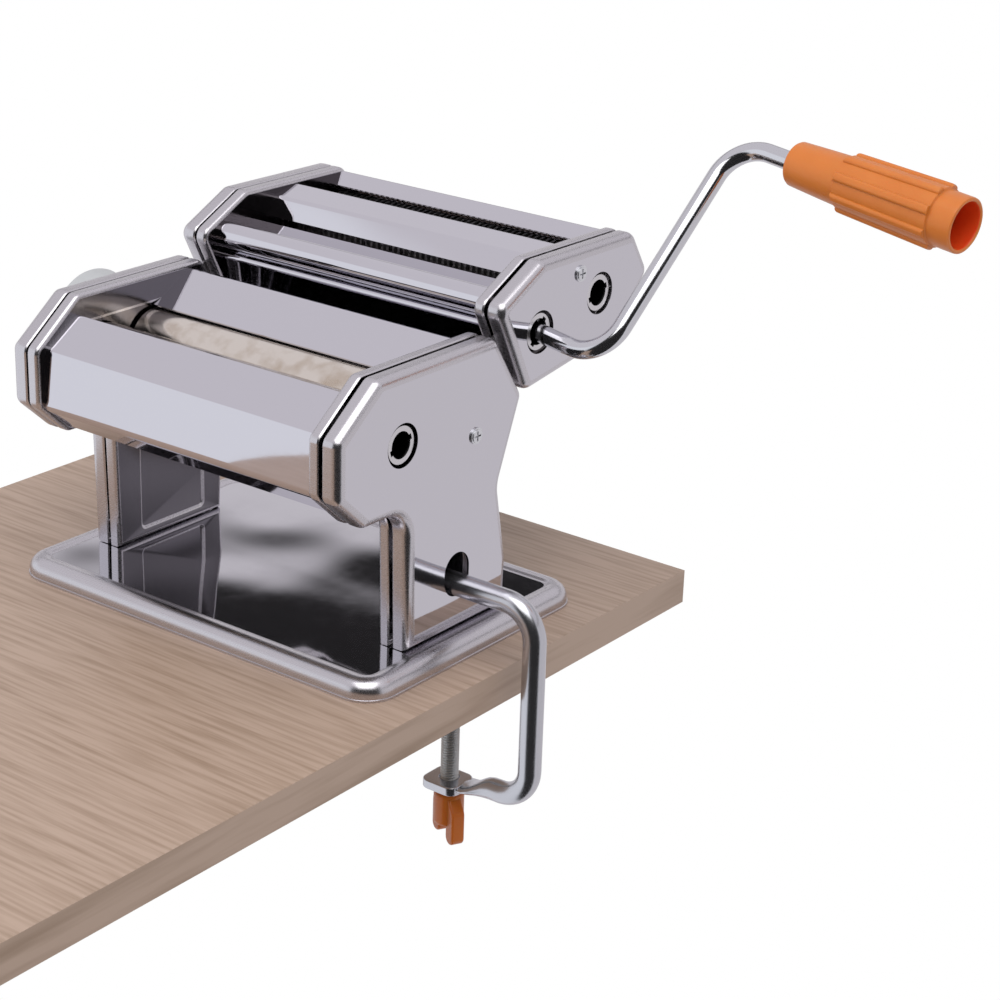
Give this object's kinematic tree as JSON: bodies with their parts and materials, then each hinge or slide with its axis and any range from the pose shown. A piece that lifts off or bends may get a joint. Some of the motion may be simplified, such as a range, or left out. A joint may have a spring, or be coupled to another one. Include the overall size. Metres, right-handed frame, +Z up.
{
  "type": "pasta machine",
  "caption": "Hand-cranked pasta roller machine: smooth rollers with a thickness knob, lift-off head with wide and narrow cutters, bent crank with free-turning grip, and a table clamp.",
  "frame": {"origin": "middle of the underside of the base, where the machine sits on the table", "axes": "+X along the rollers towards the crank side, +Y from the dough roller side to the cutter head side, +Z up"},
  "size_m": [0.3782, 0.2087, 0.3039],
  "materials": {
    "mirror_steel": "mirror polished sheet",
    "satin_steel": "satin",
    "dark_gear": "oiled",
    "zinc_steel": "zinc plated",
    "chrome_rod": "chrome plated",
    "orange_plastic": "gloss, slightly translucent",
    "silver_plastic": "silvery grey, satin gloss",
    "nylon": "matt"
  },
  "bodies": {
    "machine": {"base": "mirror_steel", "inner_frame_left": "satin_steel", "inner_frame_right": "satin_steel", "cover_left": "mirror_steel", "cover_right": "mirror_steel", "front_panel": "mirror_steel", "rear_panel": "mirror_steel", "front_scraper": "satin_steel", "rear_scraper": "satin_steel", "tie_rods": "zinc_steel", "cover_spacers": "zinc_steel", "cover_screws": "zinc_steel", "foot_screws": "zinc_steel", "roller_bushes": "nylon"},
    "front_roller_set": {"front_roller": "satin_steel", "drive_socket": "satin_steel", "front_gear": "dark_gear"},
    "rear_carriage": {"rear_axle": "zinc_steel"},
    "rear_roller_set": {"rear_roller": "satin_steel", "rear_gear": "dark_gear"},
    "adjuster": {"adjust_cam": "zinc_steel", "knob_screw": "zinc_steel", "knob_spring": "zinc_steel"},
    "thickness_knob": {"knob": "silver_plastic"},
    "cutter_head": {"cutter_frame_left": "satin_steel", "cutter_frame_right": "satin_steel", "cutter_cover_left": "mirror_steel", "cutter_cover_right": "mirror_steel", "cutter_rear_panel": "mirror_steel", "cutter_centre_panel": "mirror_steel", "cutter_nose_panel": "mirror_steel", "cutter_lower_panel": "mirror_steel", "cutter_tongues": "satin_steel", "cutter_spacers": "zinc_steel", "cutter_screws": "zinc_steel", "cutter_bushes": "nylon", "wide_comb": "satin_steel", "narrow_comb": "satin_steel"},
    "wide_front_set": {"wide_cutter_front": "satin_steel", "wide_gear_front": "dark_gear", "wide_socket": "satin_steel"},
    "wide_back_set": {"wide_cutter_back": "satin_steel", "wide_gear_back": "dark_gear"},
    "narrow_front_set": {"narrow_cutter_front": "satin_steel", "narrow_gear_front": "dark_gear", "narrow_socket": "satin_steel"},
    "narrow_back_set": {"narrow_cutter_back": "satin_steel", "narrow_gear_back": "dark_gear"},
    "crank": {"crank_rod": "chrome_rod", "grip_washer": "zinc_steel"},
    "crank_grip": {"grip": "orange_plastic"},
    "clamp_hook": {"clamp_rod": "chrome_rod"},
    "clamp_jaw": {"clamp_pad": "zinc_steel"},
    "clamp_thumbscrew": {"clamp_screw": "zinc_steel", "clamp_wing": "orange_plastic"}
  },
  "joints": [
    {"name": "main_drive", "type": "hinge", "parent": "machine", "child": "front_roller_set", "pos_m": [0, -0.04, 0.1008], "axis": [1, 0, 0], "continuous": true},
    {"name": "thickness_dial", "type": "hinge", "parent": "machine", "child": "adjuster", "pos_m": [0, -0.0102, 0.1008], "axis": [1, 0, 0], "range_deg": [0, 160]},
    {"name": "roller_gap_slide", "type": "slide", "parent": "machine", "child": "rear_carriage", "axis": [0, 1, 0], "range_m": [0, 0.0024]},
    {"name": "rear_roller_spin", "type": "hinge", "parent": "rear_carriage", "child": "rear_roller_set", "pos_m": [0, -0.0102, 0.1008], "axis": [1, 0, 0], "continuous": true},
    {"name": "knob_pull", "type": "slide", "parent": "adjuster", "child": "thickness_knob", "axis": [-1, 0, 0], "range_m": [0, 0.005], "stiffness_N_per_m": 900, "springref_m": -0.004, "deforming": ["knob_spring"]},
    {"name": "cutter_lift", "type": "slide", "parent": "machine", "child": "cutter_head", "axis": [0, -0.548, 0.8365], "range_m": [0, 0.04]},
    {"name": "wide_drive", "type": "hinge", "parent": "cutter_head", "child": "wide_front_set", "pos_m": [0, 0.0498, 0.1268], "axis": [1, 0, 0], "continuous": true},
    {"name": "wide_back_spin", "type": "hinge", "parent": "cutter_head", "child": "wide_back_set", "pos_m": [0, 0.0692, 0.1268], "axis": [1, 0, 0], "continuous": true},
    {"name": "narrow_drive", "type": "hinge", "parent": "cutter_head", "child": "narrow_front_set", "pos_m": [0, 0.0926, 0.1344], "axis": [1, 0, 0], "continuous": true},
    {"name": "narrow_back_spin", "type": "hinge", "parent": "cutter_head", "child": "narrow_back_set", "pos_m": [0, 0.11213, 0.13611], "axis": [1, 0, 0], "continuous": true},
    {"name": "crank_pull", "type": "slide", "parent": "wide_front_set", "child": "crank", "axis": [1, 0, 0], "range_m": [0, 0.03]},
    {"name": "grip_spin", "type": "hinge", "parent": "crank", "child": "crank_grip", "pos_m": [0.17397, 0.10969, 0.20273], "axis": [0.9874, -0.121, -0.102], "continuous": true},
    {"name": "clamp_reach", "type": "slide", "parent": "machine", "child": "clamp_hook", "axis": [1, 0, 0], "range_m": [0, 0.03]},
    {"name": "clamp_travel", "type": "slide", "parent": "clamp_hook", "child": "clamp_jaw", "axis": [0, 0, 1], "range_m": [-0.026, 0.002]},
    {"name": "clamp_screw_turn", "type": "hinge", "parent": "clamp_jaw", "child": "clamp_thumbscrew", "pos_m": [0.091, -0.003, -0.0735], "axis": [0, 0, 1], "range_deg": [-7490, 577]}
  ],
  "couplings": [
    {"joint": "rear_roller_spin", "follows": "main_drive", "ratio": -1},
    {"joint": "thickness_dial", "follows": "roller_gap_slide", "rad_per_m": 1163.6},
    {"joint": "wide_back_spin", "follows": "wide_drive", "ratio": -1},
    {"joint": "narrow_back_spin", "follows": "narrow_drive", "ratio": -1},
    {"joint": "clamp_screw_turn", "follows": "clamp_travel", "rad_per_m": 5026.5}
  ]
}
